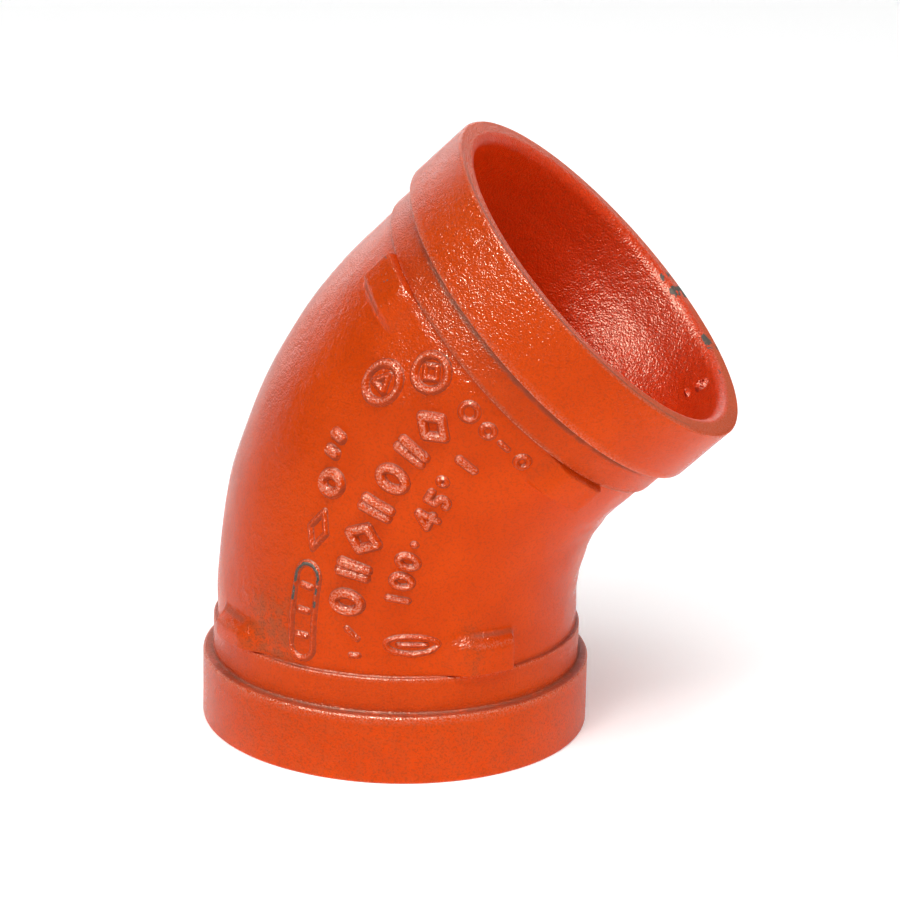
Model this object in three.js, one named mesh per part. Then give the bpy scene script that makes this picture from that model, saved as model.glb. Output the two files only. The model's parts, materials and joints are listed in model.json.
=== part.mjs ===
// A 45 degree pipe elbow with grooved ends, nominal size 3 inch (DN 80), in cast iron.
//
// The real elbow is one casting. Its sections are separate solids here: the bend, the two
// grooved ends, the coupling stop lugs and the raised casting marks.
//
// Every section is laid out on the straight pipe that the elbow would be if it were unrolled.
// A place on that pipe has three coordinates: an angle around the pipe, a station along its
// centreline from the lower face, and a radius. Angle 0 faces -Y, and 90 degrees faces the
// inside of the bend. bentPoint then wraps the pipe around the bend.
//
// Millimetres, +Z up. The lower face stands on Z = 0 and the bend leans towards +X.

import * as THREE from "three";

// Pipe and bend
const PIPE_RADIUS = 44.8;
const CENTRE_TO_END = 63.5;
const BEND_ANGLE = THREE.MathUtils.degToRad(45);
const BEND_RADIUS = 78;
const BODY_RADIUS = 41.5;
const BORE_RADIUS = 37.5;

// Grooved ends
const SEAT_LENGTH = 15.9;
const GROOVE_WIDTH = 8.2;
const GROOVE_RADIUS = 42.45;
const MOUTH_RADIUS = 39.2;
const MOUTH_DEPTH = 12;
const MOUTH_ROUND = 2.4;
const FACE_ROUND = 0.6;
const GROOVE_ROUND = 0.5;

// Clearance that keeps neighbouring sections apart
const SEAM_GAP = 0.3;

// Coupling stop lugs: the two facing -Y, in degrees, which the far side repeats mirrored.
// Their sides are steep towards the plane of the bend and slope gently away from it.
const LUG_ANGLES = [-47.5, 43];
const LUG_RADIUS = 44.3;
const LUG_TOP_WIDTH = 9.6;
const LUG_STEEP_SIDE = 1.8;
const LUG_GENTLE_SIDE = 4.5;

// How far the lugs reach from the groove, and how much of that is flat before it slopes down.
// The lower lugs are shorter on the outer side of the bend than on the inner side.
const LOWER_OUTER_LUG = { length: 7.4, flatShare: 0.5 };
const LOWER_INNER_LUG = { length: 11, flatShare: 0.56 };
const UPPER_LUG = { length: 9.2, flatShare: 0.83 };

// Raised casting marks: how far each style stands up and how wide its strokes are
const BOLD = { relief: 1.2, width: 1.9 };
const MEDIUM = { relief: 1, width: 1.4 };
const FINE = { relief: 0.7, width: 1 };
const SIDE_DRAFT = 0.5;
const MITER_LIMIT = 0.6;

// The skins that marks stand on, and which way is up from each of them
const OUTSIDE = { radius: BODY_RADIUS, up: 1 };
const INSIDE_MOUTH = { radius: MOUTH_RADIUS, up: -1 };

// Angles, in degrees, of the rows of marks on the -Y side, and the station of the top row
const LEFT_ROW_ANGLE = -19;
const MAIN_ROW_ANGLE = -3;
const ANGLE_ROW_ANGLE = 12;
const TOP_ROW_STATION = 94;

// Mesh steps
const AROUND_STEPS = 64;
const BEND_STEPS = 12;
const RING_STEPS = 20;

const PAINT = { color: 0xd44818, roughness: 0.32, metalness: 0.0 };

// Centreline: straight, arc, straight
const STRAIGHT_LENGTH = CENTRE_TO_END - BEND_RADIUS * Math.tan(BEND_ANGLE / 2);
const ARC_END = STRAIGHT_LENGTH + BEND_RADIUS * BEND_ANGLE;
const PIPE_LENGTH = ARC_END + STRAIGHT_LENGTH;
const GROOVE_END = SEAT_LENGTH + GROOVE_WIDTH;

/** Centre, inward direction and forward direction of the centreline at a station. */
function centrelineFrame(station) {
  const turn = THREE.MathUtils.clamp((station - STRAIGHT_LENGTH) / BEND_RADIUS, 0, BEND_ANGLE);
  const forward = new THREE.Vector3(Math.sin(turn), 0, Math.cos(turn));
  const inward = new THREE.Vector3(Math.cos(turn), 0, -Math.sin(turn));
  const centre = new THREE.Vector3(BEND_RADIUS, 0, STRAIGHT_LENGTH);
  centre.addScaledVector(inward, -BEND_RADIUS);
  const pastArc = Math.min(station - STRAIGHT_LENGTH, 0) + Math.max(station - ARC_END, 0);
  centre.addScaledVector(forward, pastArc);
  return { centre, inward, forward };
}

/** The point at an angle (radians), station and radius. */
function bentPoint(angle, station, radius) {
  const { centre, inward } = centrelineFrame(station);
  centre.addScaledVector(inward, radius * Math.sin(angle));
  centre.y -= radius * Math.cos(angle);
  return centre;
}

/** Makes a painted mesh with a name. */
function paintedMesh(name, geometry) {
  const material = new THREE.MeshStandardMaterial(PAINT);
  const mesh = new THREE.Mesh(geometry, material);
  mesh.name = name;
  return mesh;
}

/** A geometry from flat lists of coordinates and triangle corners. */
function surfaceGeometry(vertices, indices) {
  const geometry = new THREE.BufferGeometry();
  geometry.setAttribute("position", new THREE.Float32BufferAttribute(vertices, 3));
  geometry.setIndex(indices);
  geometry.computeVertexNormals();
  return geometry;
}

/** Turns a closed profile of (radius, station) points around the pipe, then bends it. */
function turnedSection(name, profile) {
  const geometry = new THREE.LatheGeometry([...profile, profile[0]], AROUND_STEPS);
  const position = geometry.getAttribute("position");
  for (let i = 0; i < position.count; i += 1) {
    const angle = Math.atan2(position.getX(i), position.getZ(i));
    const radius = Math.hypot(position.getX(i), position.getZ(i));
    const point = bentPoint(angle, position.getY(i), radius);
    position.setXYZ(i, point.x, point.y, point.z);
  }
  return paintedMesh(name, geometry);
}

/** Points on a quarter circle about (radius, station), from one heading to the other. */
function quarterRound(radius, station, size, fromDegrees, steps) {
  const points = [];
  for (let i = 0; i <= steps; i += 1) {
    const heading = THREE.MathUtils.degToRad(fromDegrees + (90 * i) / steps);
    points.push(new THREE.Vector2(radius + size * Math.cos(heading), station + size * Math.sin(heading)));
  }
  return points;
}

/** Profile of a grooved end whose face is at station 0: face, seat, groove, seam, bore. */
function groovedEndProfile() {
  return [
    ...quarterRound(PIPE_RADIUS - FACE_ROUND, FACE_ROUND, FACE_ROUND, -90, 2),
    ...quarterRound(PIPE_RADIUS - GROOVE_ROUND, SEAT_LENGTH - GROOVE_ROUND, GROOVE_ROUND, 0, 2),
    new THREE.Vector2(GROOVE_RADIUS, SEAT_LENGTH + GROOVE_ROUND / 2),
    new THREE.Vector2(GROOVE_RADIUS, GROOVE_END - GROOVE_ROUND),
    new THREE.Vector2(GROOVE_RADIUS - GROOVE_ROUND, GROOVE_END),
    new THREE.Vector2(BORE_RADIUS, GROOVE_END),
    new THREE.Vector2(MOUTH_RADIUS, MOUTH_DEPTH),
    ...quarterRound(MOUTH_RADIUS + MOUTH_ROUND, MOUTH_ROUND, MOUTH_ROUND, 180, 3),
  ];
}

function lowerEnd() {
  return turnedSection("lower_grooved_end", groovedEndProfile());
}

function upperEnd() {
  const flipped = groovedEndProfile().map((point) => new THREE.Vector2(point.x, PIPE_LENGTH - point.y));
  return turnedSection("upper_grooved_end", flipped.reverse());
}

/** The curved wall between the two ends. */
function bendBody() {
  const start = GROOVE_END + SEAM_GAP;
  const stations = [start];
  for (let i = 0; i <= BEND_STEPS; i += 1) {
    stations.push(STRAIGHT_LENGTH + (i / BEND_STEPS) * (ARC_END - STRAIGHT_LENGTH));
  }
  stations.push(PIPE_LENGTH - start);
  const outside = stations.map((station) => new THREE.Vector2(BODY_RADIUS, station));
  const inside = stations.map((station) => new THREE.Vector2(BORE_RADIUS, station));
  return turnedSection("bend_body", [...outside, ...inside.reverse()]);
}

/**
 * A closed block on the pipe. low(row, column) and high(row, column) give the under side and
 * the top as [arc length from the block's own angle, station, radius].
 */
function blockOnPipe(angleDegrees, rows, columns, low, high) {
  const middle = THREE.MathUtils.degToRad(angleDegrees);
  const vertices = [];
  const indices = [];
  const add = ([arc, station, radius]) => {
    const point = bentPoint(middle + arc / BODY_RADIUS, station, radius);
    vertices.push(point.x, point.y, point.z);
    return vertices.length / 3 - 1;
  };
  const grid = (place) => {
    const lines = [];
    for (let row = 0; row <= rows; row += 1) {
      const line = [];
      for (let column = 0; column <= columns; column += 1) {
        line.push(add(place(row, column)));
      }
      lines.push(line);
    }
    return lines;
  };
  const quad = (a, b, c, d) => indices.push(a, b, c, a, c, d);
  const bottom = grid(low);
  const top = grid(high);
  for (let row = 0; row < rows; row += 1) {
    for (let column = 0; column < columns; column += 1) {
      const [topHere, topNext] = [top[row], top[row + 1]];
      const [bottomHere, bottomNext] = [bottom[row], bottom[row + 1]];
      const beside = column + 1;
      quad(topHere[column], topHere[beside], topNext[beside], topNext[column]);
      quad(bottomHere[column], bottomNext[column], bottomNext[beside], bottomHere[beside]);
    }
  }
  for (let row = 0; row < rows; row += 1) {
    quad(bottom[row][0], top[row][0], top[row + 1][0], bottom[row + 1][0]);
    quad(bottom[row + 1][columns], top[row + 1][columns], top[row][columns], bottom[row][columns]);
  }
  for (let column = 0; column < columns; column += 1) {
    quad(bottom[0][column], bottom[0][column + 1], top[0][column + 1], top[0][column]);
    quad(bottom[rows][column + 1], bottom[rows][column], top[rows][column], top[rows][column + 1]);
  }
  return surfaceGeometry(vertices, indices);
}

/** One coupling stop lug: flat beside the groove, then sloping down into the bend. */
function stopLug(name, angleDegrees, onUpperEnd) {
  const columns = 4;
  const middle = THREE.MathUtils.degToRad(angleDegrees);
  const steepWay = Math.sign(Math.sin(2 * middle));
  const lowerLug = Math.sin(middle) < 0 ? LOWER_OUTER_LUG : LOWER_INNER_LUG;
  const { length, flatShare } = onUpperEnd ? UPPER_LUG : lowerLug;
  const shares = [0, flatShare, 1];
  const tops = [LUG_RADIUS, LUG_RADIUS, BODY_RADIUS + 2 * SEAM_GAP];
  const along = (share) => {
    const station = GROOVE_END + SEAM_GAP + share * length;
    return onUpperEnd ? PIPE_LENGTH - station : station;
  };
  const rows = shares.length - 1;
  const order = (row) => (onUpperEnd ? rows - row : row);
  const across = (column, gentleSide, steepSide) => {
    const share = steepWay > 0 ? column / columns : 1 - column / columns;
    const start = -LUG_TOP_WIDTH / 2 - gentleSide;
    return steepWay * (start + share * (LUG_TOP_WIDTH + gentleSide + steepSide));
  };
  const low = (row, column) => {
    const arc = across(column, LUG_GENTLE_SIDE, LUG_STEEP_SIDE);
    return [arc, along(shares[order(row)]), BODY_RADIUS + SEAM_GAP];
  };
  const high = (row, column) => [across(column, 0, 0), along(shares[order(row)]), tops[order(row)]];
  return paintedMesh(name, blockOnPipe(angleDegrees, rows, columns, low, high));
}

/** The eight lugs: two facing -Y and two facing +Y on each end. */
function stopLugs() {
  const group = new THREE.Group();
  const angles = [...LUG_ANGLES, ...LUG_ANGLES.map((angle) => 180 - angle)];
  angles.forEach((angle, i) => {
    group.add(stopLug(`lower_stop_lug_${i + 1}`, angle, false));
    group.add(stopLug(`upper_stop_lug_${i + 1}`, angle, true));
  });
  return group;
}

/** A point of a glyph: x reads along the pipe and y points up, towards smaller angles. */
function at(x, y) {
  return new THREE.Vector2(x, y);
}

/** A closed oval stroke of the given outer length and height. */
function oval(length, height, style, x = 0, y = 0) {
  const path = [];
  for (let i = 0; i < RING_STEPS; i += 1) {
    const turn = (2 * Math.PI * i) / RING_STEPS;
    const dx = ((length - style.width) / 2) * Math.cos(turn);
    const dy = ((height - style.width) / 2) * Math.sin(turn);
    path.push(at(x + dx, y + dy));
  }
  return { path, closed: true, style };
}

/** An open stroke through the points given. */
function line(style, ...path) {
  return { path, closed: false, style };
}

/** A bar across the pipe, standing up in the glyph. */
function bar(height, style, x = 0, y = 0) {
  return line(style, at(x, y - height / 2), at(x, y + height / 2));
}

/** A closed polygon stroke with its corners on an oval, the first one on the +x side. */
function polygon(corners, length, height, style, x = 0) {
  const path = [];
  for (let i = 0; i < corners; i += 1) {
    const turn = (2 * Math.PI * i) / corners;
    path.push(at(x + (length / 2) * Math.cos(turn), (height / 2) * Math.sin(turn)));
  }
  return { path, closed: true, style };
}

/** A long frame with round ends. */
function roundedFrame(length, height, style) {
  const radius = (height - style.width) / 2;
  const reach = (length - height) / 2;
  const shape = new THREE.Shape();
  shape.absarc(reach, 0, radius, -Math.PI / 2, Math.PI / 2);
  shape.absarc(-reach, 0, radius, Math.PI / 2, (3 * Math.PI) / 2);
  shape.closePath();
  const path = shape.getSpacedPoints(2 * RING_STEPS);
  path.pop();
  return { path, closed: true, style };
}

/** The numeral 4 in one stroke, which ends just short of its own stem. */
function numeralFour(height, style) {
  const half = height / 2;
  const stem = 0.25 * height;
  const crossbar = -0.17 * height;
  const shortOfStem = stem - style.width - SEAM_GAP;
  const corner = at(-0.42 * height, crossbar);
  return line(style, at(stem, -half), at(stem, half), at(0, half), corner, at(shortOfStem, crossbar));
}

/** The numeral 5 in one stroke. */
function numeralFive(height, style) {
  const half = height / 2;
  const bowl = 0.26 * height;
  const left = -0.24 * height;
  const path = [at(bowl, half), at(left, half), at(left, 0.1 * height)];
  for (let degrees = 75; degrees >= -120; degrees -= 39) {
    const turn = THREE.MathUtils.degToRad(degrees);
    path.push(at(bowl * Math.cos(turn), bowl - half + bowl * Math.sin(turn)));
  }
  return line(style, ...path);
}

/**
 * The solid of one stroke: a bar with sloping sides that follows the path over a skin.
 * Four corners are set at every point of the path, and open paths get end faces.
 */
function strokeGeometry(middle, skin, { path, closed, style }) {
  const base = SEAM_GAP;
  const top = style.relief;
  const inset = SIDE_DRAFT * (top - base);
  const count = path.length;
  const last = count - 1;
  const vertices = [];
  const indices = [];
  const addCorner = (point, height) => {
    const angle = THREE.MathUtils.degToRad(middle.angle) - (skin.up * point.y) / skin.radius;
    const corner = bentPoint(angle, middle.station + point.x, skin.radius + skin.up * height);
    vertices.push(corner.x, corner.y, corner.z);
  };
  path.forEach((point, i) => {
    const before = closed ? path[(i + last) % count] : path[Math.max(i - 1, 0)];
    const after = closed ? path[(i + 1) % count] : path[Math.min(i + 1, last)];
    const leaving = after.clone().sub(point);
    const arriving = point.clone().sub(before);
    const isStart = !closed && i === 0;
    const isEnd = !closed && i === last;
    const heading = (isStart ? leaving : arriving).clone().normalize();
    const next = (isEnd ? arriving : leaving).clone().normalize();
    const along = heading.clone().add(next).normalize();
    const miter = 1 / Math.max(heading.dot(along), MITER_LIMIT);
    const left = at(-along.y, along.x);
    const wide = (style.width / 2) * miter;
    const narrow = (style.width / 2 - inset) * miter;
    const shift = (Number(isStart) - Number(isEnd)) * inset;
    const crown = point.clone().addScaledVector(along, shift);
    addCorner(point.clone().addScaledVector(left, wide), base);
    addCorner(crown.clone().addScaledVector(left, narrow), top);
    addCorner(crown.clone().addScaledVector(left, -narrow), top);
    addCorner(point.clone().addScaledVector(left, -wide), base);
  });
  const corners = 4;
  for (let row = 0; row < (closed ? count : last); row += 1) {
    const here = row * corners;
    const ahead = ((row + 1) % count) * corners;
    for (let side = 0; side < corners; side += 1) {
      const beside = (side + 1) % corners;
      indices.push(here + side, here + beside, ahead + beside);
      indices.push(here + side, ahead + beside, ahead + side);
    }
  }
  if (!closed) {
    const end = last * corners;
    indices.push(0, 3, 2, 0, 2, 1);
    indices.push(end, end + 1, end + 2, end, end + 2, end + 3);
  }
  return surfaceGeometry(vertices, indices);
}

/** Adds a raised mark at an angle (degrees) and station. */
function addMark(group, name, angle, station, mark, skin = OUTSIDE) {
  group.add(paintedMesh(name, strokeGeometry({ angle, station }, skin, mark)));
}

/** The main row: seven bold plain signs along the side of the bend. */
function mainRow() {
  const group = new THREE.Group();
  const start = 40.8;
  const pitch = 7.5;
  const height = 8;
  const length = 5.8;
  const block = { ...BOLD, width: 3.6 };
  const ring = oval(length, height, BOLD);
  const rhombus = polygon(4, length, height, BOLD);
  const solidBar = bar(height, block);
  [ring, solidBar, rhombus, solidBar, ring, solidBar, rhombus].forEach((sign, i) => {
    addMark(group, `main_row_sign_${i + 1}`, MAIN_ROW_ANGLE, start + i * pitch, sign);
  });
  return group;
}

/** The second row: plain signs, then the bend angle of 45 degrees. */
function angleRow() {
  const group = new THREE.Group();
  const height = 5.6;
  const length = 4.5;
  const add = (name, station, mark) => addMark(group, name, ANGLE_ROW_ANGLE, station, mark);
  add("second_row_bar", 44.1, bar(height, MEDIUM));
  add("second_row_ring_1", 49, oval(length, height, MEDIUM));
  add("second_row_ring_2", 54.4, oval(length, height, MEDIUM));
  add("second_row_dot", 59.2, bar(1.6, MEDIUM));
  add("numeral_4", 66.4, numeralFour(height, MEDIUM));
  add("numeral_5", 72.2, numeralFive(height, MEDIUM));
  add("degree_ring", 77, oval(2.8, 2.8, FINE, 0, 1.6));
  add("second_row_end_bar", 84.2, bar(height, BOLD));
  return group;
}

/** Signs on the outer side of the bend: a ring, two bars, a rhombus and a framed plate. */
function leftColumn() {
  const group = new THREE.Group();
  addMark(group, "left_ring", LEFT_ROW_ANGLE, 62.8, oval(5.6, 6.4, BOLD));
  addMark(group, "left_bar_1", LEFT_ROW_ANGLE - 4.5, 67.9, bar(4, BOLD));
  addMark(group, "left_bar_2", LEFT_ROW_ANGLE - 5.5, 71, bar(4, BOLD));
  addMark(group, "left_rhombus", LEFT_ROW_ANGLE + 1.5, 53.2, polygon(4, 8.4, 4.8, FINE));
  const frameAngle = LEFT_ROW_ANGLE + 2;
  const frameMiddle = 36.2;
  const frameLength = 21;
  const frameHeight = 6.6;
  addMark(group, "plate_frame", frameAngle, frameMiddle, roundedFrame(frameLength, frameHeight, FINE));
  [-4.6, 0.4, 5.4].forEach((offset, i) => {
    addMark(group, `plate_bar_${i + 1}`, frameAngle, frameMiddle + offset, bar(frameHeight / 2, FINE));
  });
  return group;
}

/** Round badges near the upper end, and the fine signs in the ring beside them. */
function roundBadges() {
  const group = new THREE.Group();
  const badge = oval(9, 9, MEDIUM);
  const badgePlaces = [
    [-23.4, 84.3],
    [-15.2, 93.2],
  ];
  const innerSize = 4.4;
  addMark(group, "badge_1_ring", ...badgePlaces[0], badge);
  addMark(group, "badge_1_triangle", ...badgePlaces[0], polygon(3, innerSize, innerSize, FINE));
  addMark(group, "badge_2_ring", ...badgePlaces[1], badge);
  addMark(group, "badge_2_square", ...badgePlaces[1], polygon(4, innerSize, innerSize, FINE));
  const ring = oval(3.8, 3.8, FINE);
  addMark(group, "small_ring", 1, TOP_ROW_STATION, oval(4.8, 4.8, FINE));
  addMark(group, "top_row_ring_1", 9, TOP_ROW_STATION, ring);
  addMark(group, "top_row_bar", 15.8, TOP_ROW_STATION, bar(3.2, MEDIUM));
  addMark(group, "top_row_ring_2", 23.5, TOP_ROW_STATION, ring);
  return group;
}

/** The oval plate and the small lot marks beside the lower end. */
function lowerMarks() {
  const group = new THREE.Group();
  const platePlace = [18, 32];
  addMark(group, "oval_plate_rim", ...platePlace, oval(5.6, 12.6, FINE));
  addMark(group, "oval_plate_bar", ...platePlace, bar(7, MEDIUM));
  addMark(group, "lot_mark_1", -0.5, 33.8, line(FINE, at(1, 1.6), at(-1, -1.6)));
  addMark(group, "lot_mark_2", 0.5, 28.8, bar(2.6, FINE));
  return group;
}

/** A ring and a bar inside the mouth of the upper end. */
function mouthMarks() {
  const group = new THREE.Group();
  addMark(group, "mouth_ring", 117, PIPE_LENGTH - 5, oval(3.6, 3, FINE), INSIDE_MOUTH);
  addMark(group, "mouth_bar", 119, PIPE_LENGTH - 9.2, bar(2.6, FINE), INSIDE_MOUTH);
  return group;
}

/** The whole elbow, moved so that its box stands centred on the origin. */
function pipeElbow() {
  const elbow = new THREE.Group();
  elbow.add(lowerEnd(), bendBody(), upperEnd(), stopLugs());
  elbow.add(mainRow(), angleRow(), leftColumn(), roundBadges(), lowerMarks(), mouthMarks());
  const middle = new THREE.Box3().setFromObject(elbow).getCenter(new THREE.Vector3());
  elbow.position.x = -middle.x;
  return elbow;
}

export default pipeElbow();
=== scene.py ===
"""A grooved 45 degree pipe elbow: the painted casting and its raised marks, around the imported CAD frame.

The casting is laid out on the straight pipe that the elbow would be if it were unrolled. A place on
that pipe has an angle around it (0 faces -Y, 90 degrees faces the inside of the bend), a station
along the centreline from the lower face, and a radius. on_pipe() wraps places around the bend.
Lengths are in millimetres until on_pipe() turns them into metres in the row frame.
"""

import json
import math

import bpy
import numpy as np
from mathutils import Matrix, Vector


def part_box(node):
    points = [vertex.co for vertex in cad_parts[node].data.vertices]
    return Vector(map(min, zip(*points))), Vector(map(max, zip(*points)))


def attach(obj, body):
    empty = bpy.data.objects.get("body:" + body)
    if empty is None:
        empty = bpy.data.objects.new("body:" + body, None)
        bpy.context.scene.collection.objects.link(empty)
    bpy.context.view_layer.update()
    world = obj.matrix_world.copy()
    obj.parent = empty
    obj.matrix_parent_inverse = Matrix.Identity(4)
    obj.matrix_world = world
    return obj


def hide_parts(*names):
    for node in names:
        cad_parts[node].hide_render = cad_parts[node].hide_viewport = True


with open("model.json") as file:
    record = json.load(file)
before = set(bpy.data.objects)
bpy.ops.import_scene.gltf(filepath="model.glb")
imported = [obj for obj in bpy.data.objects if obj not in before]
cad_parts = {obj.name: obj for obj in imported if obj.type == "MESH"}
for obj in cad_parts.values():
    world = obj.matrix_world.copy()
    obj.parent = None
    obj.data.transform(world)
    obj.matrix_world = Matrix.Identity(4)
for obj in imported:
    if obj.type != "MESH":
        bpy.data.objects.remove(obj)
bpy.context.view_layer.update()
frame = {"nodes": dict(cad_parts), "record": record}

MM = 0.001

# ---------------------------------------------------------------- sizes from the frame

lower_low, lower_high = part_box("lower_grooved_end")
upper_face = next(m for m in frame["record"]["mounts"] if m["name"] == "upper_end_face")
PIPE_AXIS_X = (lower_low[0] + lower_high[0]) / 2 / MM
PIPE_RADIUS = (lower_high[1] - lower_low[1]) / 2 / MM
GROOVE_END = lower_high[2] / MM
BEND_ANGLE = math.atan2(upper_face["axis"][0], upper_face["axis"][2])
CENTRE_TO_END = (upper_face["pos_m"][0] / MM - PIPE_AXIS_X) / math.sin(BEND_ANGLE)

# ---------------------------------------------------------------- sizes of the casting, mm

BEND_RADIUS = 78.0
BODY_RADIUS = 41.5
BORE_RADIUS = 37.5
MOUTH_RADIUS = 39.2
MOUTH_DEPTH = 12.0
SEAT_LENGTH = 15.9
GROOVE_RADIUS = 42.45
MOUTH_ROUND = 2.4
FACE_ROUND = 0.55
SEAT_ROUND = 0.7
GROOVE_FILLET = 0.6
CASTING_COLUMNS = 356  # keeps the casting's skin under 200,000 triangles

LUG_ANGLES = [-47.5, 43.0, 137.0, 227.5]
LUG_RADIUS = 44.3
LUG_TOP_HALF = 4.8
LUG_STEEP_SIDE = 1.8
LUG_GENTLE_SIDE = 7.5
LUG_FACE = 0.35
LOWER_OUTER_LUG = {"flat": 3.6, "end": 7.4}
LOWER_INNER_LUG = {"flat": 6.1, "end": 11.3}
UPPER_LUG = {"flat": 7.6, "end": 9.4}
ON_EVERY_LUG_TOP = 3.0  # a distance past the groove at which every lug is at its full height

STRAIGHT = CENTRE_TO_END - BEND_RADIUS * math.tan(BEND_ANGLE / 2)
ARC_END = STRAIGHT + BEND_RADIUS * BEND_ANGLE
PIPE_LENGTH = ARC_END + STRAIGHT


def on_pipe(angle, station, radius):
    """Points in metres, as an (n, 3) array, at angles in radians, stations and radii in mm."""
    turn = np.clip((station - STRAIGHT) / BEND_RADIUS, 0, BEND_ANGLE)
    past = np.minimum(station - STRAIGHT, 0) + np.maximum(station - ARC_END, 0)
    inward = radius * np.sin(angle) - BEND_RADIUS
    x = PIPE_AXIS_X + BEND_RADIUS + inward * np.cos(turn) + past * np.sin(turn)
    z = STRAIGHT - inward * np.sin(turn) + past * np.cos(turn)
    y = -radius * np.cos(angle)
    return np.stack([x, y, z], axis=-1) * MM


def smooth(value, low, high):
    """0 below low, 1 above high, with a smooth step between."""
    share = np.clip((value - low) / (high - low), 0, 1)
    return share * share * (3 - 2 * share)


def wrapped_degrees(angle):
    """An angle in radians as degrees from -180 up to 180."""
    return np.remainder(np.degrees(angle) + 180, 360) - 180


def ease(value, low, high):
    """Like smooth, but straighter in between, with shorter curves at both ends."""
    share = np.clip((value - low) / (high - low), 0, 1)
    return 0.3 * smooth(value, low, high) + 0.7 * share


def waviness(angle, station):
    """How far the sand-cast skin stands off its true shape, in mm."""
    random = np.random.default_rng(7)
    x = BODY_RADIUS * np.cos(angle)
    y = BODY_RADIUS * np.sin(angle)
    total = np.zeros(np.broadcast(angle, station).shape)
    for wavelength, depth in [(34.0, 0.06), (17.0, 0.035), (9.0, 0.02)]:
        for _ in range(5):
            wave = random.normal(size=3)
            wave *= 2 * math.pi / wavelength / np.linalg.norm(wave)
            total += depth * np.sin(wave[0] * x + wave[1] * y + wave[2] * station + random.uniform(0, 6.28))
    return total


# ---------------------------------------------------------------- the casting's skin


def arc(distance, radius, size, start, stop, steps):
    """(distance from the face, radius) along part of a circle; angles in degrees from the radius axis."""
    headings = np.radians(np.linspace(start, stop, steps + 1))
    return [(distance + size * math.sin(a), radius + size * math.cos(a)) for a in headings]


def span(start, stop, steps):
    """Points from start up to, but not including, stop."""
    shares = np.arange(steps) / steps
    return [tuple(np.add(start, share * np.subtract(stop, start))) for share in shares]


def band(points, wear_and_highlight=0.0, grime_and_shade=0.0):
    """Rows of (distance from the face, radius, pale wear with painted highlight, dirt with painted shade),
    with one of each for all points or one per point.
    """
    count = len(points)
    return np.column_stack([np.array(points), np.broadcast_to(wear_and_highlight, count), np.broadcast_to(grime_and_shade, count)])


def outer_rows():
    """Rows along the outside, from the face to mid bend."""
    face_start = (0, MOUTH_RADIUS + MOUTH_ROUND)
    face_end = (0, PIPE_RADIUS - FACE_ROUND)
    seat_edge = SEAT_LENGTH - SEAT_ROUND
    floor_start = SEAT_LENGTH + 2 * GROOVE_FILLET
    step_edge = GROOVE_END - 0.5
    past_lugs = GROOVE_END + LOWER_INNER_LUG["end"] + 1
    fillet_middle = (SEAT_LENGTH + GROOVE_FILLET, GROOVE_RADIUS + GROOVE_FILLET)
    # Each band's third number is pale rubbed enamel and painted highlight, mostly on rounded edges; its
    # fourth is dirt and painted shade in fillets and corners.
    return np.vstack([
        band(span(face_start, face_end, 10), 0.2),
        band(arc(FACE_ROUND, PIPE_RADIUS - FACE_ROUND, FACE_ROUND, -90, 0, 6),
             [0.1, 0.2, 0.3, 0.35, 0.3, 0.2, 0]),
        band(span((FACE_ROUND + 1.2, PIPE_RADIUS), (seat_edge, PIPE_RADIUS), 9)),
        band(arc(seat_edge, PIPE_RADIUS - SEAT_ROUND, SEAT_ROUND, 0, 90, 5),
             [0.3, 0.6, 0.8, 0.6, 0.3, 0], [0, 0, 0, 0.2, 0.5, 0.7]),
        band(arc(*fillet_middle, GROOVE_FILLET, 270, 180, 5), 0, [0.9, 1, 1, 0.9, 0.6, 0.3]),
        band(span((floor_start, GROOVE_RADIUS), (step_edge, GROOVE_RADIUS), 8), 0, 0.1),
        band(arc(step_edge, GROOVE_RADIUS - 0.45, 0.45, 0, 80, 4),
             [0.2, 0.6, 0.6, 0.3, 0], [0.1, 0.1, 0.2, 0.4, 0.6]),
        band(arc(GROOVE_END + 0.42, BODY_RADIUS + 0.5, 0.5, 260, 180, 5), 0, [0.7, 0.8, 0.7, 0.5, 0.3, 0.2]),
        band(span((GROOVE_END + 0.7, BODY_RADIUS), (past_lugs, BODY_RADIUS), 30)),
        band(span((past_lugs, BODY_RADIUS), (PIPE_LENGTH / 2, BODY_RADIUS), 15)),
    ])


def bore_rows():
    """Rows down the bore, from the face to mid bend."""
    edge = arc(MOUTH_ROUND, MOUTH_RADIUS + MOUTH_ROUND, MOUTH_ROUND, 270, 180, 8)[1:]
    mouth_end = (MOUTH_DEPTH, MOUTH_RADIUS)
    cone_end = (GROOVE_END, BORE_RADIUS)
    # The mouth's rounded edge is paler: rubbed enamel and a painted highlight.
    return np.vstack([
        band(edge, [0.35, 0.3, 0.2, 0.1, 0.05, 0, 0, 0]),
        band(span((MOUTH_ROUND + 1, MOUTH_RADIUS), mouth_end, 5)),
        band(span(mouth_end, cone_end, 8)),
        band(span(cone_end, (PIPE_LENGTH / 2, BORE_RADIUS), 14)),
    ])


def across_lug(angle, middle):
    """Distance in mm from a lug's middle line, growing towards its steep side."""
    steep_way = math.copysign(1, math.sin(2 * math.radians(middle)))
    apart = np.remainder(np.degrees(angle) - middle + 180, 360) - 180
    return np.radians(apart) * steep_way * BODY_RADIUS


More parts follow.
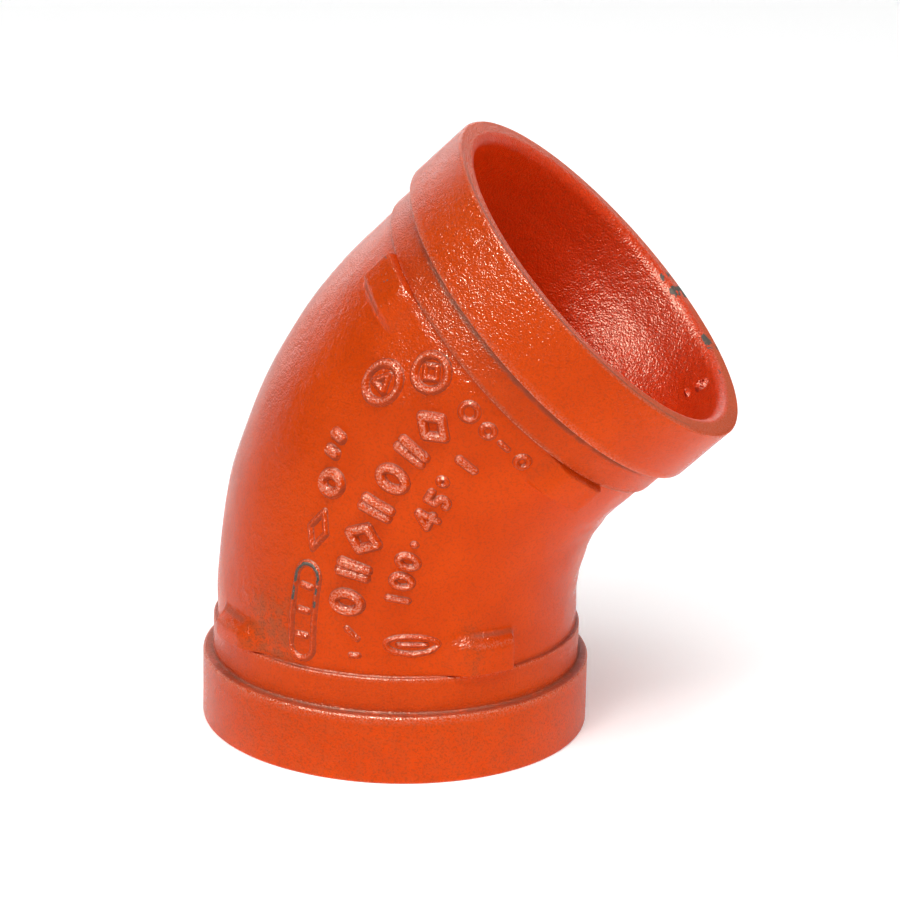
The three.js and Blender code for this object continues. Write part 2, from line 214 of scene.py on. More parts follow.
def lug_shape(angle, station):
    """0 off the lugs to 1 on their tops."""
    along = np.zeros_like(angle)
    outer_side = np.sin(angle) < 0
    ends = ((LOWER_OUTER_LUG, station, outer_side), (LOWER_INNER_LUG, station, ~outer_side),
            (UPPER_LUG, PIPE_LENGTH - station, True))
    for lug, distance, side in ends:
        rise = smooth(distance, GROOVE_END, GROOVE_END + LUG_FACE)
        fall = ease(distance, GROOVE_END + lug["flat"], GROOVE_END + lug["end"])
        along = np.maximum(along, rise * (1 - fall) * side)
    across = np.zeros_like(along)
    for middle in LUG_ANGLES:
        sideways = across_lug(angle, middle)
        steep = 1 - ease(sideways, LUG_TOP_HALF, LUG_TOP_HALF + LUG_STEEP_SIDE)
        gentle = smooth(sideways, -LUG_TOP_HALF - LUG_GENTLE_SIDE, -LUG_TOP_HALF)
        across = np.maximum(across, steep * gentle)
    return across * along


def off_gentle_sides(angle):
    """0 where a lug slopes gently into the bend, and 1 elsewhere."""
    foot = -LUG_TOP_HALF - LUG_GENTLE_SIDE
    total = np.ones_like(angle)
    for middle in LUG_ANGLES:
        sideways = across_lug(angle, middle)
        slope = smooth(sideways, foot - 1, foot)
        total *= 1 - slope * (1 - smooth(sideways, -LUG_TOP_HALF - 1, -LUG_TOP_HALF + 1))
    return total


def column_angles(count):
    """Angles around the pipe in radians, closer together where the lugs' sides are."""
    fine = np.linspace(0, 360, 7200, endpoint=False)
    density = np.ones_like(fine)
    for middle in LUG_ANGLES:
        apart = np.abs(np.remainder(fine - middle + 180, 360) - 180)
        density += 1.6 * np.exp(-(((apart - 8.3) / 3.0) ** 2))
    filled = np.cumsum(density) / density.sum()
    return np.radians(np.interp((np.arange(count) + 0.5) / count, filled, fine))


def groove_dirt_and_shade(angle, station, radius):
    """Dirt and painted shade along the upper groove, under the seat and at the step, and a darker line near
    the outer edge of the upper rim face, on the side that faces -Y.
    """
    degrees = wrapped_degrees(angle)
    depth = PIPE_LENGTH - station
    facing = smooth(degrees, -70, -25) * (1 - smooth(degrees, 70, 90))
    under_seat = smooth(depth, SEAT_LENGTH - 0.3, SEAT_LENGTH)
    under_seat = under_seat * (1 - smooth(depth, SEAT_LENGTH + 1.2, SEAT_LENGTH + 2.2))
    step = smooth(depth, GROOVE_END - 0.9, GROOVE_END - 0.4)
    step = step * (1 - smooth(depth, GROOVE_END + 0.1, GROOVE_END + 0.5))
    on_tops = np.full(angle.shape, PIPE_LENGTH - GROOVE_END - ON_EVERY_LUG_TOP)
    step = 0.6 * step * (1 - lug_shape(angle, on_tops))
    near_side = smooth(degrees, -80, -50) * (1 - smooth(degrees, 40, 70))
    face_line = (1 - smooth(depth, 0.05, 0.2)) * np.exp(-(((radius - PIPE_RADIUS + 1.2) / 0.45) ** 2))
    return np.maximum(facing * np.maximum(under_seat, step), near_side * face_line)


def matte_rim(angle, station, radius):
    """Where the upper rim's flat face is dull: on the side inside the bend."""
    degrees = wrapped_degrees(angle)
    sides = smooth(degrees, 0, 40) * (1 - smooth(degrees, 135, 165))
    face = 1 - smooth(PIPE_LENGTH - station, 0.1, 0.5)
    return sides * face * smooth(radius, MOUTH_RADIUS + 1.2, MOUTH_RADIUS + 2.2)


def stains(angle, station):
    """Brownish handling stains above the lower groove, as (angle, width, amount), and on the lower seat."""
    places = [(-33, 6, 1), (-24, 5, 1), (36, 3, 0.5)]
    degrees = wrapped_degrees(angle)
    patches = sum(amount * np.exp(-(((degrees - middle) / width) ** 2)) for middle, width, amount in places)
    above_groove = smooth(station, GROOVE_END, GROOVE_END + 1) * (1 - smooth(station, 33, 42))
    seat = 0.3 * (1 - smooth(station, SEAT_LENGTH - 1, SEAT_LENGTH))
    return np.clip(np.maximum(above_groove * patches, seat), 0, 1)


def chips(angle, station, outside):
    """Places where the enamel has come off: (angle, depth from the upper face, width, length)."""
    outer_skin = [(-46.5, 27.5, 2.3, 0.8), (-75, 10, 1.3, 1.6), (-69, 8, 1.1, 1.2), (-54, 25.5, 1.6, 0.6)]
    rim = [(162, 0.3, 1.6, 1.0), (156, 0.4, 2.2, 1.2), (134, 0.4, 3.2, 0.5), (118, 0.5, 3.0, 0.4)]
    degrees = wrapped_degrees(angle)
    depth = PIPE_LENGTH - station
    total = np.zeros(angle.shape)
    for group, side in ((outer_skin, outside), (rim, np.ones_like(outside))):
        for middle, down, width, length in group:
            sideways = np.radians(degrees - middle) * BODY_RADIUS
            spot = np.exp(-((sideways / width) ** 4) - ((depth - down) / length) ** 4)
            total = np.maximum(total, side * spot)
    return total


def skin_rows():
    """All the rows around the wall's section: (station, radius, pale wear with painted highlight, dirt with
    painted shade, outside).
    """
    outside = outer_rows()
    inside = bore_rows()
    outside = np.column_stack([outside, np.ones(len(outside))])
    inside = np.column_stack([inside, np.zeros(len(inside))])
    flipped = []
    for rows in (outside, inside):
        far = rows[::-1].copy()
        far[:, 0] = PIPE_LENGTH - far[:, 0]
        flipped.append(far)
    middle = [PIPE_LENGTH / 2, BODY_RADIUS, 0, 0, 1]
    deep = [PIPE_LENGTH / 2, BORE_RADIUS, 0, 0, 0]
    return np.vstack([outside, middle, flipped[0], flipped[1][::-1], deep, inside[::-1]])


def make_mesh(name, points, faces, attributes, material):
    """An object with smooth faces and float attributes on its points."""
    mesh = bpy.data.meshes.new(name)
    mesh.from_pydata(points.tolist(), [], faces.tolist())
    mesh.update()
    mesh.shade_smooth()
    for key, values in attributes.items():
        layer = mesh.attributes.new(key, "FLOAT", "POINT")
        layer.data.foreach_set("value", np.ascontiguousarray(values, dtype=np.float32))
    mesh.materials.append(material)
    piece = bpy.data.objects.new(name, mesh)
    bpy.context.collection.objects.link(piece)
    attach(piece, "root")
    return piece


def ring_faces(rows, columns):
    """Quads of a skin that closes on itself both around the pipe and around the wall's section."""
    here = np.arange(rows * columns).reshape(rows, columns)
    beside = np.roll(here, -1, axis=1)
    ahead = np.roll(here, -1, axis=0)
    corner = np.roll(beside, -1, axis=0)
    return np.stack([here, beside, corner, ahead], axis=-1).reshape(-1, 4)


def casting_wear_and_highlight(wear_and_highlight, angle, lug, rim):
    """Pale rubbed enamel and painted highlights: the values of the rows, and the crisp upper edges of the
    lugs painted pale.
    """
    return np.maximum(wear_and_highlight, 0.8 * rim * smooth(lug, 0.6, 0.9) * off_gentle_sides(angle))


def casting_grime_and_shade(grime_and_shade, angle, station, radius, outside, lug, rim):
    """Dirt and painted shade: the values of the rows, dirt and painted shade at the feet of the lugs, the
    upper groove, and painted shade on the lower ends of the upper lugs and on the dull rim.
    """
    crisp = off_gentle_sides(angle)
    distance = np.minimum(station, PIPE_LENGTH - station)
    upper_half = station > PIPE_LENGTH / 2
    # Dirt and painted shade at the feet of the lugs, mostly beside their crisp sides.
    grime_and_shade = np.maximum(grime_and_shade * (1 - 0.7 * lug), rim * (1 - smooth(lug, 0.2, 0.5)) * (0.15 + 0.85 * crisp))
    grime_and_shade = np.maximum(grime_and_shade, groove_dirt_and_shade(angle, station, radius) * outside)
    # Painted shade on the lower ends of the upper lugs, which face down.
    shaded_lug_end = (distance > GROOVE_END + UPPER_LUG["flat"] - 0.5) & upper_half
    grime_and_shade = np.maximum(grime_and_shade, 0.5 * rim * shaded_lug_end * crisp)
    # Painted shade on the dull part of the upper rim face.
    grime_and_shade = np.maximum(grime_and_shade, 0.3 * matte_rim(angle, station, radius))
    past_groove = GROOVE_END + ON_EVERY_LUG_TOP
    on_tops = np.where(upper_half, PIPE_LENGTH - past_groove, past_groove)
    lug_face = lug_shape(angle, on_tops) * np.exp(-(((distance - GROOVE_END - 0.2) / 0.8) ** 2))
    return grime_and_shade * (1 - 0.9 * lug_face)


def make_casting(material):
    """The whole painted casting: wall, collars, grooves and lugs in one closed skin."""
    rows = skin_rows()
    angle, station = np.meshgrid(column_angles(CASTING_COLUMNS), rows[:, 0])
    radius, wear_and_highlight, grime_and_shade, outside = (np.repeat(rows[:, i:i + 1], CASTING_COLUMNS, axis=1) for i in range(1, 5))
    lug = lug_shape(angle, station) * outside
    radius = radius + (LUG_RADIUS - radius) * lug
    distance = np.minimum(station, PIPE_LENGTH - station)
    bend_share = smooth(distance, GROOVE_END, GROOVE_END + 3)
    radius = radius + waviness(angle, station) * (0.25 + 0.75 * bend_share)
    radius = radius - outside * (1 - bend_share) * (0.04 + 0.2 * np.cos(angle) ** 2)
    rim = np.clip(4 * lug * (1 - lug), 0, 1) * outside
    fields = {
        "wear_and_highlight": casting_wear_and_highlight(wear_and_highlight, angle, lug, rim),
        "grime_and_shade": casting_grime_and_shade(grime_and_shade, angle, station, radius, outside, lug, rim),
        "bore": 1 - outside,
        "stain": stains(angle, station) * outside,
        "chip": chips(angle, station, outside),
        "coarse": np.where(outside > 0, 0.35 * (1 - bend_share), 0.3),
        "matte": matte_rim(angle, station, radius),
    }
    points = on_pipe(angle, station, radius).reshape(-1, 3)
    attributes = {name: values.ravel() for name, values in fields.items()}
    return make_mesh("elbow_casting", points, ring_faces(*angle.shape), attributes, material)


# ---------------------------------------------------------------- raised marks

BOLD = {"relief": 1.2, "width": 1.9}
MEDIUM = {"relief": 1.0, "width": 1.45}
FINE = {"relief": 0.7, "width": 1.0}
MARK_FLARE = 0.3
MARK_SIDE = 0.75
MARK_CELL = 0.15
MARK_DEPTH = 0.45
MARK_GRAIN = 0.05
CHIPPED_MARKS = ["plate_frame"]


def oval(length, height, style, x=0.0, y=0.0):
    """A closed oval stroke of the given outer length and height."""
    turns = np.linspace(0, 2 * math.pi, 49)
    reach_x = (length - style["width"]) / 2
    reach_y = (height - style["width"]) / 2
    return np.column_stack([x + reach_x * np.cos(turns), y + reach_y * np.sin(turns)]), style


def line(style, *points):
    """A stroke through the points given: x reads along the pipe, y is up in the sign."""
    return np.array(points, float), style


def bar(height, style, x=0.0, y=0.0):
    """A stroke that stands up in the sign."""
    half = (height - style["width"]) / 2
    return line(style, (x, y - half), (x, y + half))


def polygon(corners, length, height, style):
    """A closed stroke with its corners on an oval, the first one on the +x side."""
    turns = np.arange(corners + 1) * 2 * math.pi / corners
    return np.column_stack([length / 2 * np.cos(turns), height / 2 * np.sin(turns)]), style


def rounded_frame(length, height, style):
    """A long closed stroke with round ends."""
    radius = (height - style["width"]) / 2
    reach = (length - height) / 2
    turns = np.linspace(-math.pi / 2, math.pi / 2, 13)
    right = np.column_stack([reach + radius * np.cos(turns), radius * np.sin(turns)])
    path = np.vstack([right, -right, right[:1]])
    return path, style


def numeral_four(height, style):
    half = height / 2
    stem = 0.22 * height
    crossbar = -0.17 * height
    return [
        line(style, (stem, -half), (stem, half), (stem - 0.1 * height, half), (-0.42 * height, crossbar)),
        line(style, (-0.42 * height, crossbar), (stem + 0.2 * height, crossbar)),
    ]


def numeral_five(height, style):
    half = height / 2
    bowl = 0.26 * height
    left = -0.24 * height
    turns = np.radians(np.linspace(75, -120, 9))
    curve = np.column_stack([bowl * np.cos(turns), bowl - half + bowl * np.sin(turns)])
    start = np.array([(bowl, half), (left, half), (left, 0.1 * height)])
    return [(np.vstack([start, curve]), style)]


def distance_to_path(x, y, path):
    """How far each point of a grid is from a path."""
    nearest = np.full(x.shape, np.inf)
    for (x0, y0), (x1, y1) in zip(path[:-1], path[1:]):
        dx, dy = x1 - x0, y1 - y0
        share = np.clip(((x - x0) * dx + (y - y0) * dy) / max(dx * dx + dy * dy, 1e-9), 0, 1)
        nearest = np.minimum(nearest, np.hypot(x - x0 - share * dx, y - y0 - share * dy))
    return nearest


def grain(shape, seed):
    """Seeded unevenness of a sand-cast top, a few cells across, about 1 high."""
    noise = np.random.default_rng(seed).normal(size=shape)
    for axis in (0, 1):
        noise = (noise + np.roll(noise, 1, axis)) / math.sqrt(2)
    return noise


def mark_heights(x, y, strokes):
    """Height of a mark over a grid: 0 at the foot of its sloping sides and below 0 outside them."""
    height = np.full(x.shape, -1.0)
    for path, style in strokes:
        off = distance_to_path(x, y, path) - style["width"] / 2 - MARK_FLARE
        side = min(MARK_SIDE, style["width"] / 2 + MARK_FLARE)
        rise = ease(-off, 0, side)
        outside = np.clip(off / MARK_CELL, 0, 3)
        height = np.maximum(height, style["relief"] * rise - 0.12 * outside)
    return height


def grid_quads(used):
    """Quads of the grid cells whose four corners are all used, as places in the flattened grid."""
    rows, columns = np.nonzero(used[:-1, :-1] & used[1:, :-1] & used[:-1, 1:] & used[1:, 1:])
    first = rows * used.shape[1] + columns
    below = (rows + 1) * used.shape[1] + columns
    return np.stack([first, first + 1, below + 1, below], axis=-1)


def closed_faces(quads, count):
    """Faces of a plate: the quads on top, the same on count points further on, and walls between them."""
    edges = {}
    for quad in quads:
        for a, b in zip(quad, np.roll(quad, -1)):
            edges[(a, b)] = True
    rim = [(a, b) for a, b in edges if (b, a) not in edges]
    walls = np.array([(b, a, a + count, b + count) for a, b in rim])
    return np.vstack([quads, quads[:, ::-1] + count, walls])


def mark_finish(shape, keep, share, relief, in_mouth):
    """Finish of a mark: pale wear and painted highlight on its top and on the sides that face +x and +y in
    the sign, dirt and painted shade at its foot, painted shade on the other sides.
    """
    slope_y, slope_x = np.gradient(shape, MARK_CELL)
    lit_way = -(slope_x + slope_y).ravel()[keep]
    # Sides that face +x and +y get painted highlight, like the top; sides that face away get painted shade.
    wear_and_highlight = 0.8 * smooth(share, 0.75, 1) + smooth(lit_way, 0.2, 1.2) * smooth(share, 0.2, 0.6)
    wear_and_highlight *= smooth(relief, 0.3, 1.4) * (1 - smooth(-lit_way, 0.2, 0.8))
    grime_and_shade = np.maximum(1 - smooth(share, 0.0, 0.4), 0.8 * smooth(-lit_way, 0.3, 1.5))
    if in_mouth:
        wear_and_highlight, grime_and_shade = 0.3 * wear_and_highlight, 0.4 * grime_and_shade
    return np.clip(wear_and_highlight, 0, 1), grime_and_shade


def make_mark(node, angle, station, strokes, material, in_mouth=False):
    """A raised mark: cells of a fine grid over its strokes, with rough sloping sides, closed underneath."""
    reach = max(np.abs(path).max() for path, style in strokes) + 2
    line_x = np.linspace(-reach, reach, int(2 * reach / MARK_CELL) + 1)
    x, y = np.meshgrid(line_x, line_x)
    shape = mark_heights(x, y, strokes)
    rough = MARK_GRAIN * grain(shape.shape, sum(node.encode()))
    height = shape + rough * smooth(shape, 0.1, 0.5)
    keep, packed = np.unique(grid_quads(shape > -0.2), return_inverse=True)
    flat_x, flat_y, flat_height = x.ravel()[keep], y.ravel()[keep], height.ravel()[keep]

    up = -1 if in_mouth else 1
    base_radius = MOUTH_RADIUS if in_mouth else BODY_RADIUS
    around = math.radians(angle) - up * flat_y / base_radius
    along = station + flat_x
    skin = base_radius + waviness(around, along) * (0.25 if in_mouth else 1)
    top = on_pipe(around, along, skin + up * flat_height)
    bottom = on_pipe(around, along, skin - up * MARK_DEPTH)
    count = len(keep)
    faces = closed_faces(packed.reshape(-1, 4), count)

    relief = max(style["relief"] for path, style in strokes)
    share = flat_height / relief
    wear_and_highlight, grime_and_shade = mark_finish(shape, keep, share, relief, in_mouth)
    chip = smooth(share, 0.3, 0.8) * smooth(flat_x, -2, 4) * (node in CHIPPED_MARKS)
    under = np.zeros(count)
    attributes = {
        "wear_and_highlight": np.concatenate([wear_and_highlight, under]),
        "grime_and_shade": np.concatenate([grime_and_shade, under]),
        "bore": np.full(2 * count, float(in_mouth)),
        "stain": np.zeros(2 * count),
        "chip": np.concatenate([chip, under]),
        "coarse": np.full(2 * count, 0.6),
        "matte": np.zeros(2 * count),
    }
    piece = make_mesh("cast_" + node, np.vstack([top, bottom]), faces, attributes, material)
    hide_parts(node)
    return piece


MAIN_ROW_ANGLE = -3
SECOND_ROW_ANGLE = 12
LEFT_ROW_ANGLE = -19
TOP_ROW_STATION = 94


def main_row():
    """Seven bold plain signs: (node, angle, station, strokes)."""
    start, pitch, height, length = 40.8, 7.5, 8.0, 5.8
    ring = [oval(length, height, BOLD)]
    bars = [bar(height, BOLD, -0.95), bar(height, BOLD, 0.95)]
    rhombus = [polygon(4, length - 0.6, height - 1.2, BOLD)]
    signs = [ring, bars, rhombus, bars, ring, bars, rhombus]
    return [(f"main_row_sign_{i + 1}", MAIN_ROW_ANGLE, start + i * pitch, sign)
            for i, sign in enumerate(signs)]


def second_row():
    """Smaller signs beside the main row, with the numerals 45 and a degree ring among them."""
    height, length = 5.6, 4.5
    signs = [
        ("second_row_bar", 44.1, [bar(height, MEDIUM)]),
        ("second_row_ring_1", 49, [oval(length, height, MEDIUM)]),
        ("second_row_ring_2", 54.4, [oval(length, height, MEDIUM)]),
        ("second_row_dot", 59.2, [bar(1.6, MEDIUM)]),
        ("numeral_4", 66.4, numeral_four(height - 1.2, MEDIUM)),
        ("numeral_5", 72.2, numeral_five(height - 1.2, MEDIUM)),
        ("degree_ring", 77, [oval(2.8, 2.8, FINE, 0, 1.6)]),
        ("second_row_end_bar", 84.2, [bar(height, BOLD)]),
    ]
    return [(node, SECOND_ROW_ANGLE, station, strokes) for node, station, strokes in signs]


def left_column():
    """Signs on the outer side of the bend, and a framed plate with three bars."""
    frame_angle = LEFT_ROW_ANGLE + 2
    frame_middle = 36.2
    signs = [
        ("left_ring", LEFT_ROW_ANGLE, 62.8, [oval(5.6, 6.4, BOLD)]),
        ("left_bar_1", LEFT_ROW_ANGLE - 4.5, 67.9, [bar(4, BOLD)]),
        ("left_bar_2", LEFT_ROW_ANGLE - 5.5, 71, [bar(4, BOLD)]),
        ("left_rhombus", LEFT_ROW_ANGLE + 1.5, 53.2, [polygon(4, 7.8, 4.2, FINE)]),
        ("plate_frame", frame_angle, frame_middle, [rounded_frame(21, 6.6, FINE)]),
    ]
    for i, offset in enumerate([-4.6, 0.4, 5.4]):
        signs.append((f"plate_bar_{i + 1}", frame_angle, frame_middle + offset, [bar(3.3, FINE)]))
    return signs


def round_badges():
    """Two round badges and a row of small signs beside the upper groove."""
    badge_2 = (-15.2, TOP_ROW_STATION - 0.8)
    return [
        ("badge_1_ring", -23.4, 84.3, [oval(9, 9, MEDIUM)]),
        ("badge_1_triangle", -23.4, 84.3, [polygon(3, 3.8, 3.8, FINE)]),
        ("badge_2_ring", *badge_2, [oval(9, 9, MEDIUM)]),
        ("badge_2_square", *badge_2, [polygon(4, 3.8, 3.8, FINE)]),
        ("small_ring", 1, TOP_ROW_STATION, [oval(4.8, 4.8, FINE)]),
        ("top_row_ring_1", 9, TOP_ROW_STATION, [oval(3.8, 3.8, FINE)]),
        ("top_row_bar", 15.8, TOP_ROW_STATION, [bar(3.2, FINE)]),
        ("top_row_ring_2", 23.5, TOP_ROW_STATION, [oval(3.8, 3.8, FINE)]),
    ]


def lower_marks():
    """A plate with an oval rim, and two small strokes, above the lower groove."""
    return [
        ("oval_plate_rim", 18, 32, [oval(5.6, 12.6, FINE)]),
        ("oval_plate_bar", 18, 32, [bar(7, FINE)]),
        ("lot_mark_1", -0.5, 33.8, [line(FINE, (1, 1.2), (-1, -1.2))]),
        ("lot_mark_2", 0.5, 28.8, [bar(2.6, FINE)]),
    ]


def mouth_marks():
    """Two small signs inside the upper mouth."""
    return [
        ("mouth_ring", 117, PIPE_LENGTH - 5, [oval(3.6, 3, FINE)]),
        ("mouth_bar", 119, PIPE_LENGTH - 9.2, [bar(2.6, FINE)]),
    ]


# ---------------------------------------------------------------- materials


class Nodes:
    """Small helper that adds shader nodes and links them."""

    def __init__(self, tree):
        self.tree = tree

    def add(self, kind, inputs=None, **settings):
        node = self.tree.nodes.new(kind)
        for key, value in settings.items():
            setattr(node, key, value)
        for key, value in (inputs or {}).items():
            if isinstance(value, bpy.types.NodeSocket):
                self.tree.links.new(value, node.inputs[key])
            else:
                node.inputs[key].default_value = value
        return node

    def math(self, operation, a, b=0.0, clamp=False):
        return self.add("ShaderNodeMath", {0: a, 1: b}, operation=operation, use_clamp=clamp).outputs[0]

    def noise(self, coordinates, scale, detail=2.0, roughness=0.5):
        inputs = {"Vector": coordinates, "Scale": scale, "Detail": detail, "Roughness": roughness}
        return self.add("ShaderNodeTexNoise", inputs).outputs["Fac"]

    def ramp(self, value, low, high):
        inputs = {"Value": value, "From Min": low, "From Max": high}
        return self.add("ShaderNodeMapRange", inputs, interpolation_type="SMOOTHSTEP").outputs["Result"]

    def mix(self, share, first, second):
        node = self.add("ShaderNodeMix", data_type="RGBA")
        for socket, value in ((node.inputs[0], share), (node.inputs[6], first), (node.inputs[7], second)):
            if isinstance(value, bpy.types.NodeSocket):
                self.tree.links.new(value, socket)
            else:
                socket.default_value = value
        return node.outputs[2]

    def attribute(self, name):
        return self.add("ShaderNodeAttribute", attribute_name=name).outputs["Fac"]


ORANGE = (0.65, 0.055, 0.0010, 1)
LIGHTER_ORANGE = (0.71, 0.064, 0.0014, 1)
# Brighter, redder orange inside the bore: painted light standing in for light reaching into the bore.
BORE_ORANGE_PAINTED_LIGHTER = (0.76, 0.042, 0.0008, 1)
STAIN_BROWN = (0.45, 0.075, 0.02, 1)
SPECKLE_BROWN = (0.25, 0.045, 0.012, 1)
# Dark brown of dirt, also used for painted shade.
DIRT_AND_SHADE_BROWN = (0.15, 0.05, 0.028, 1)
# Pale pink of rubbed enamel, also used for painted highlights.
PALE_WEAR_AND_HIGHLIGHT_PINK = (0.80, 0.36, 0.24, 1)
BARE_IRON = (0.075, 0.075, 0.065, 1)


def enamel_colour(nodes, fine, broad, patches):
    """Orange, painted lighter and redder in the bore, with stains, speckle, dirt and painted shade, pale
    rubbed edges and painted highlights, and chips; and the shares of dirt with painted shade and of chips.
    """
    stain = nodes.attribute("stain")
    orange = nodes.mix(nodes.ramp(broad, 0.3, 0.7), ORANGE, LIGHTER_ORANGE)
    orange = nodes.mix(nodes.attribute("bore"), orange, BORE_ORANGE_PAINTED_LIGHTER)
    stain_share = nodes.math("MULTIPLY", stain, nodes.ramp(patches, 0.3, 0.7))
    stained = nodes.mix(stain_share, orange, STAIN_BROWN)
    speckle_share = nodes.math("ADD", 0.26, nodes.math("MULTIPLY", stain, 0.4))
    speckle = nodes.math("MULTIPLY", nodes.ramp(fine, 0.48, 0.66), speckle_share)
    speckled = nodes.mix(speckle, stained, SPECKLE_BROWN)
    # Dirt and painted shade in corners, at lug feet and on the marks' unlit sides.
    dirt_and_shade_share = nodes.math("MULTIPLY", nodes.ramp(patches, 0.1, 0.55), nodes.attribute("grime_and_shade"))
    dirty_and_shaded = nodes.mix(nodes.math("MULTIPLY", dirt_and_shade_share, 0.7), speckled, DIRT_AND_SHADE_BROWN)
    # Pale rubbed enamel and painted highlights along edges and on the marks' tops and lit sides.
    wear_and_highlight_breakup = nodes.ramp(nodes.noise(nodes.place, 2400, 2), 0.40, 0.62)
    scuff_and_highlight = nodes.math("MULTIPLY", nodes.math("MULTIPLY", wear_and_highlight_breakup, nodes.attribute("wear_and_highlight")), 0.7)
    scuffed_and_highlit = nodes.mix(scuff_and_highlight, dirty_and_shaded, PALE_WEAR_AND_HIGHLIGHT_PINK)
    bare = nodes.math("MULTIPLY", nodes.attribute("chip"), nodes.ramp(patches, 0.3, 0.6))
    chip = nodes.ramp(bare, 0.5, 0.7)
    return nodes.mix(chip, scuffed_and_highlit, BARE_IRON), dirt_and_shade_share, chip


def enamel_roughness(nodes, broad, dirt_and_shade_share, chip):
    """Glossy, with duller chips, bore, matte rim, and dirt with its painted shade."""
    roughness = nodes.math("ADD", 0.17, nodes.math("MULTIPLY", broad, 0.10))
    roughness = nodes.math("ADD", roughness, nodes.math("MULTIPLY", chip, 0.3))
    roughness = nodes.math("ADD", roughness, nodes.math("MULTIPLY", nodes.attribute("bore"), 0.1))
    roughness = nodes.math("ADD", roughness, nodes.math("MULTIPLY", nodes.attribute("matte"), 0.5))
    return nodes.math("ADD", roughness, nodes.math("MULTIPLY", dirt_and_shade_share, 0.35), clamp=True)


def enamel_normal(nodes):
    """The grain of a sand-cast skin under paint, stronger where it is coarse, and a softer unevenness."""
    coarse = nodes.math("ADD", 0.40, nodes.math("MULTIPLY", nodes.attribute("coarse"), 0.6))
    grain_height = nodes.noise(nodes.place, 2300, 1, 0.5)
    fine_bump = nodes.add("ShaderNodeBump", {"Height": grain_height, "Distance": 0.0004, "Strength": coarse})
    soft_height = nodes.noise(nodes.place, 420, 2)
    soft_bump = nodes.add("ShaderNodeBump", {"Height": soft_height, "Distance": 0.0008, "Strength": 0.3,
                                             "Normal": fine_bump.outputs["Normal"]})
    return soft_bump.outputs["Normal"]


def enamel_material():
    """Glossy orange-red enamel over cast iron, dirty and with painted shade in its corners, with pale rubbed
    edges and painted highlights, and chipped along its edges.
    """
    material = bpy.data.materials.new("enamel")
    material.use_nodes = True
    tree = material.node_tree
    shader = tree.nodes["Principled BSDF"]
    nodes = Nodes(tree)
    nodes.place = nodes.add("ShaderNodeTexCoord").outputs["Object"]
    fine = nodes.noise(nodes.place, 2000, 3)
    broad = nodes.noise(nodes.place, 60, 3)
    patches = nodes.noise(nodes.place, 420, 4, 0.6)
    colour, dirt_and_shade_share, chip = enamel_colour(nodes, fine, broad, patches)
    tree.links.new(colour, shader.inputs["Base Color"])
    tree.links.new(enamel_roughness(nodes, broad, dirt_and_shade_share, chip), shader.inputs["Roughness"])
    shader.inputs["IOR"].default_value = 1.2
    shader.inputs["Specular Tint"].default_value = (1.0, 0.78, 0.6, 1)
    tree.links.new(enamel_normal(nodes), shader.inputs["Normal"])
    return material


def floor_material():
    """White studio paper, lit a little from underneath."""
    material = bpy.data.materials.new("pale_floor")
    material.use_nodes = True
    shader = material.node_tree.nodes["Principled BSDF"]
    shader.inputs["Base Color"].default_value = (0.93, 0.93, 0.93, 1)
    shader.inputs["Roughness"].default_value = 0.9
    shader.inputs["Emission Color"].default_value = (1, 1, 1, 1)
    shader.inputs["Emission Strength"].default_value = 0.27
    return material


# ---------------------------------------------------------------- camera, light and floor


CAMERA_AZIMUTH = 12.069
CAMERA_ELEVATION = 17.5
CAMERA_ROLL = 1.64
CAMERA_DISTANCE = 0.73666
CAMERA_AIM = (0.01115, 0.00207, 0.06403)  # in metres, from the lower end's axis on the floor


def make_camera():
    """A viewpoint slightly to the right of square on, and a little above."""
    azimuth = math.radians(CAMERA_AZIMUTH)
    elevation = math.radians(CAMERA_ELEVATION)
    roll = math.radians(CAMERA_ROLL)
    distance = CAMERA_DISTANCE
    aim_x, aim_y, aim_z = CAMERA_AIM
    aim = Vector((PIPE_AXIS_X * MM + aim_x, aim_y, aim_z))
    back = Vector((math.sin(azimuth) * math.cos(elevation), -math.cos(azimuth) * math.cos(elevation),
                   math.sin(elevation)))
    right = Vector((math.cos(azimuth), math.sin(azimuth), 0))
    up = back.cross(right)
    tilted_right = right * math.cos(roll) + up * math.sin(roll)
    tilted_up = up * math.cos(roll) - right * math.sin(roll)
    camera = bpy.data.objects.new("camera", bpy.data.cameras.new("camera"))
    camera.data.sensor_width = 36
    camera.data.lens = 128.93
    camera.data.clip_start = 0.01
    turn = Matrix((tilted_right, tilted_up, back)).transposed()
    camera.matrix_world = Matrix.Translation(aim + back * distance) @ turn.to_4x4()
    bpy.context.collection.objects.link(camera)
    bpy.context.scene.camera = camera


def softbox(name, azimuth, elevation, distance, width, height, power, glossy_only=False):
    """An area light aimed at the elbow; azimuth 0 is in front and grows towards +X, in degrees."""
    azimuth, elevation = math.radians(azimuth), math.radians(elevation)
    middle = Vector((0, 0, 0.07))
    toward = Vector((math.sin(azimuth) * math.cos(elevation), -math.cos(azimuth) * math.cos(elevation),
                     math.sin(elevation)))
    light = bpy.data.lights.new(name, "AREA")
    light.shape = "RECTANGLE"
    light.size = width
    light.size_y = height
    light.energy = power
    lamp = bpy.data.objects.new(name, light)
    lamp.location = middle + toward * distance
    lamp.rotation_euler = toward.to_track_quat("Z", "Y").to_euler()
    lamp.visible_diffuse = not glossy_only
    bpy.context.collection.objects.link(lamp)


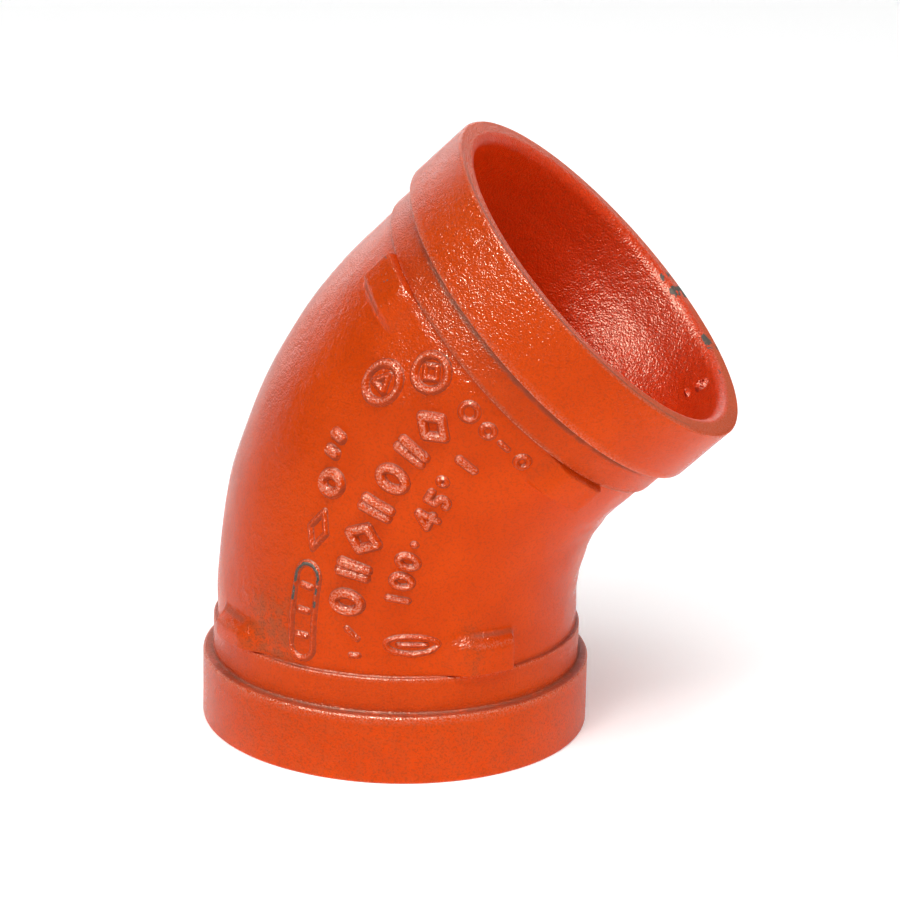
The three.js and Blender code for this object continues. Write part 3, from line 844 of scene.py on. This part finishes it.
def make_studio():
    """A soft box above and in front, and white paper behind, in a pale room."""
    softbox("key_light", 25, 70, 3.0, 2.0, 1.8, 54)
    softbox("edge_light", 28, 66, 1.2, 0.4, 0.4, 42, glossy_only=True)
    softbox("sparkle_light", -15, 51, 1.2, 0.45, 0.45, 130, glossy_only=True)
    softbox("bore_light", -18, 42, 1.2, 0.25, 0.25, 110, glossy_only=True)
    world = bpy.data.worlds.new("studio")
    world.use_nodes = True
    tree = world.node_tree
    nodes = Nodes(tree)
    background = tree.nodes["Background"]
    direction = nodes.add("ShaderNodeTexCoord").outputs["Generated"]
    toward_front = nodes.add("ShaderNodeVectorMath", {0: direction, 1: (0.2, -0.93, 0.3)},
                             operation="DOT_PRODUCT").outputs["Value"]
    above_floor = nodes.add("ShaderNodeVectorMath", {0: direction, 1: (-0.25, 0, 1)},
                            operation="DOT_PRODUCT").outputs["Value"]
    behind = nodes.ramp(toward_front, -0.40, -0.68)
    paper = nodes.math("MULTIPLY", behind, nodes.ramp(above_floor, 0.09, 0.15))
    mirrored = nodes.mix(paper, (0.06, 0.06, 0.06, 1), (3.2, 3.2, 3.2, 1))
    path = nodes.add("ShaderNodeLightPath")
    lit = nodes.mix(path.outputs["Is Glossy Ray"], (0.34, 0.34, 0.34, 1), mirrored)
    shown = nodes.mix(path.outputs["Is Camera Ray"], lit, (0.9, 0.9, 0.9, 1))
    tree.links.new(shown, background.inputs["Color"])
    bpy.context.scene.world = world
    bpy.context.scene.view_settings.view_transform = "Standard"


def make_floor():
    mesh = bpy.data.meshes.new("floor")
    reach = 6.0
    corners = [(-reach, -reach, 0), (reach, -reach, 0), (reach, reach, 0), (-reach, reach, 0)]
    mesh.from_pydata(corners, [], [(0, 1, 2, 3)])
    mesh.materials.append(floor_material())
    floor = bpy.data.objects.new("floor", mesh)
    bpy.context.collection.objects.link(floor)


# ---------------------------------------------------------------- putting it together

make_camera()
make_studio()
make_floor()
enamel = enamel_material()
casting = make_casting(enamel)
lugs = [node for node in frame["nodes"] if "_stop_lug_" in node]
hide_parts("lower_grooved_end", "bend_body", "upper_grooved_end", *lugs)
outer_marks = main_row() + second_row() + left_column() + round_badges() + lower_marks()
for node, angle, station, strokes in outer_marks:
    make_mark(node, angle, station, strokes, enamel)
for node, angle, station, strokes in mouth_marks():
    make_mark(node, angle, station, strokes, enamel, in_mouth=True)
